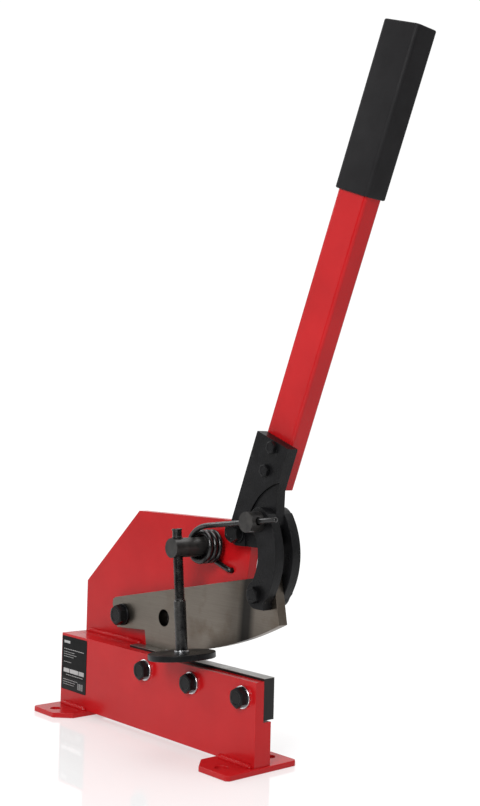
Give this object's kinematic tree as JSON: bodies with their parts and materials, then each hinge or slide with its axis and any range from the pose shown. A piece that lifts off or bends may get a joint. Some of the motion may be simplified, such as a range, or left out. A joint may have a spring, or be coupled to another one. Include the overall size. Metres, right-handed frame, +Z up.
{
  "type": "hand lever shear",
  "caption": "Bench-mounted hand lever plate shear with a curved upper blade, linked lever, return spring and a swinging screw hold-down.",
  "frame": {"origin": "centre of the four foot bolt holes, on the surface that the feet stand on", "axes": "+Z up, +X along the base towards the open end of the throat, +Y from the operator's side to the back"},
  "size_m": [0.4491, 0.1031, 0.6355],
  "materials": {
    "red_paint": "smooth semi-gloss enamel",
    "grip_rubber": "matte",
    "black_oxide": "blackened steel, satin",
    "ground_steel": "surface ground",
    "machined_steel": "turned and blackened",
    "spring_steel": "dark, oiled",
    "zinc": "bright zinc",
    "label": "satin film"
  },
  "bodies": {
    "frame": {"base_plate": "red_paint", "foot_left": "red_paint", "foot_right": "red_paint", "filler_block": "red_paint", "upper_plate": "red_paint", "lower_blade": "black_oxide", "lower_blade_bolts": "black_oxide", "lower_blade_washers": "zinc", "label_plate": "label", "blade_pivot_bolt": "black_oxide", "blade_pivot_washers": "black_oxide", "blade_pivot_nut": "black_oxide", "lever_pivot_bolt": "black_oxide", "lever_pivot_washers": "black_oxide", "lever_pivot_nut": "black_oxide", "return_spring": "spring_steel"},
    "upper_blade": {"upper_blade": "ground_steel"},
    "lever": {"lever_plate": "black_oxide", "lever_tube": "red_paint", "lever_grip": "grip_rubber", "lever_tube_bolts": "black_oxide", "lever_tube_nuts": "black_oxide"},
    "links": {"link_front": "black_oxide", "link_rear": "black_oxide", "link_bolt": "black_oxide", "link_nut": "black_oxide"},
    "link_pin": {"link_pin": "machined_steel", "link_pin_ring": "spring_steel"},
    "spring_arm": {"return_spring_arm": "spring_steel"},
    "hold_down": {"hold_down_bar": "machined_steel", "hold_down_washer": "machined_steel", "hold_down_nut": "black_oxide"},
    "hold_down_pad": {"hold_down_pad": "black_oxide", "hold_down_ring": "zinc"},
    "hold_down_screw": {"hold_down_screw": "black_oxide"}
  },
  "joints": [
    {"name": "lever_swing", "type": "hinge", "parent": "frame", "child": "lever", "pos_m": [0.1013, 0, 0.202], "axis": [0, 1, 0], "range_deg": [0, 75], "stiffness_Nm_per_rad": 2.4, "springref_deg": -60.16},
    {"name": "blade_swing", "type": "hinge", "parent": "frame", "child": "upper_blade", "pos_m": [-0.0742, 0, 0.1053], "axis": [0, 1, 0], "range_deg": [0, 12.19]},
    {"name": "link_swing", "type": "hinge", "parent": "lever", "child": "links", "pos_m": [0.1378, 0, 0.2143], "axis": [0, 1, 0], "range_deg": [-89.27, 0]},
    {"name": "link_pin_turn", "type": "hinge", "parent": "lever", "child": "link_pin", "pos_m": [0.1378, 0, 0.2143], "axis": [0, 1, 0], "range_deg": [-38.88, 0]},
    {"name": "spring_arm_swing", "type": "hinge", "parent": "frame", "child": "spring_arm", "pos_m": [0.0575, 0, 0.1858], "axis": [0, 1, 0], "range_deg": [0, 36.17], "deforming": ["return_spring"]},
    {"name": "hold_down_swing", "type": "hinge", "parent": "frame", "child": "hold_down", "pos_m": [0.0575, 0, 0.1858], "axis": [0, 1, 0], "range_deg": [-6, 18]},
    {"name": "pad_slide", "type": "slide", "parent": "hold_down", "child": "hold_down_pad", "axis": [-0.1045, 0, 0.9945], "range_m": [-0.003, 0.035]},
    {"name": "screw_turn", "type": "hinge", "parent": "hold_down_pad", "child": "hold_down_screw", "pos_m": [0.0575, -0.023, 0.1858], "axis": [-0.1045, 0, 0.9945], "range_deg": [-725, 8405]}
  ],
  "couplings": [
    {"joint": "blade_swing", "follows": "lever_swing", "ratio": 0.1622},
    {"joint": "link_swing", "follows": "lever_swing", "ratio": -1.19},
    {"joint": "link_pin_turn", "follows": "lever_swing", "ratio": -0.518},
    {"joint": "spring_arm_swing", "follows": "lever_swing", "ratio": 0.482},
    {"joint": "screw_turn", "follows": "pad_slide", "rad_per_m": 4188.8}
  ]
}
